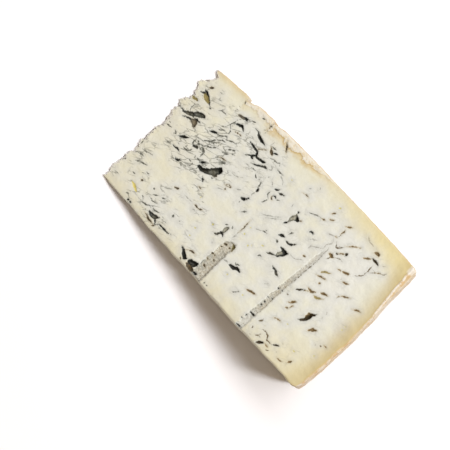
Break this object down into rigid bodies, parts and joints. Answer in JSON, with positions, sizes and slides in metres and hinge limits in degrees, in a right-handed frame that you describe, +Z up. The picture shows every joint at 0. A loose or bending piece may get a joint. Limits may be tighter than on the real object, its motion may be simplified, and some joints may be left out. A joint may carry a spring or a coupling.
{
  "type": "blue cheese wedge",
  "caption": "Wedge of soft blue-veined cheese cut from a half-height wheel, lying on a cut face: thin crumbled tip, veined paste with eyes, rind on the rim and on one side.",
  "frame": {"origin": "on the resting surface, under the middle of the wedge's bounding box", "axes": "+X from the thin tip to the rim, +Y from the halved bare side to the flat rind side, +Z up from the cut face it lies on"},
  "size_m": [0.1534, 0.0898, 0.0548],
  "materials": {
    "paste": "moist, matt to satin ivory paste with blue-grey veins and a dry tan rind"
  },
  "bodies": {
    "root": {"cheese_wedge": "paste"}
  },
  "joints": []
}
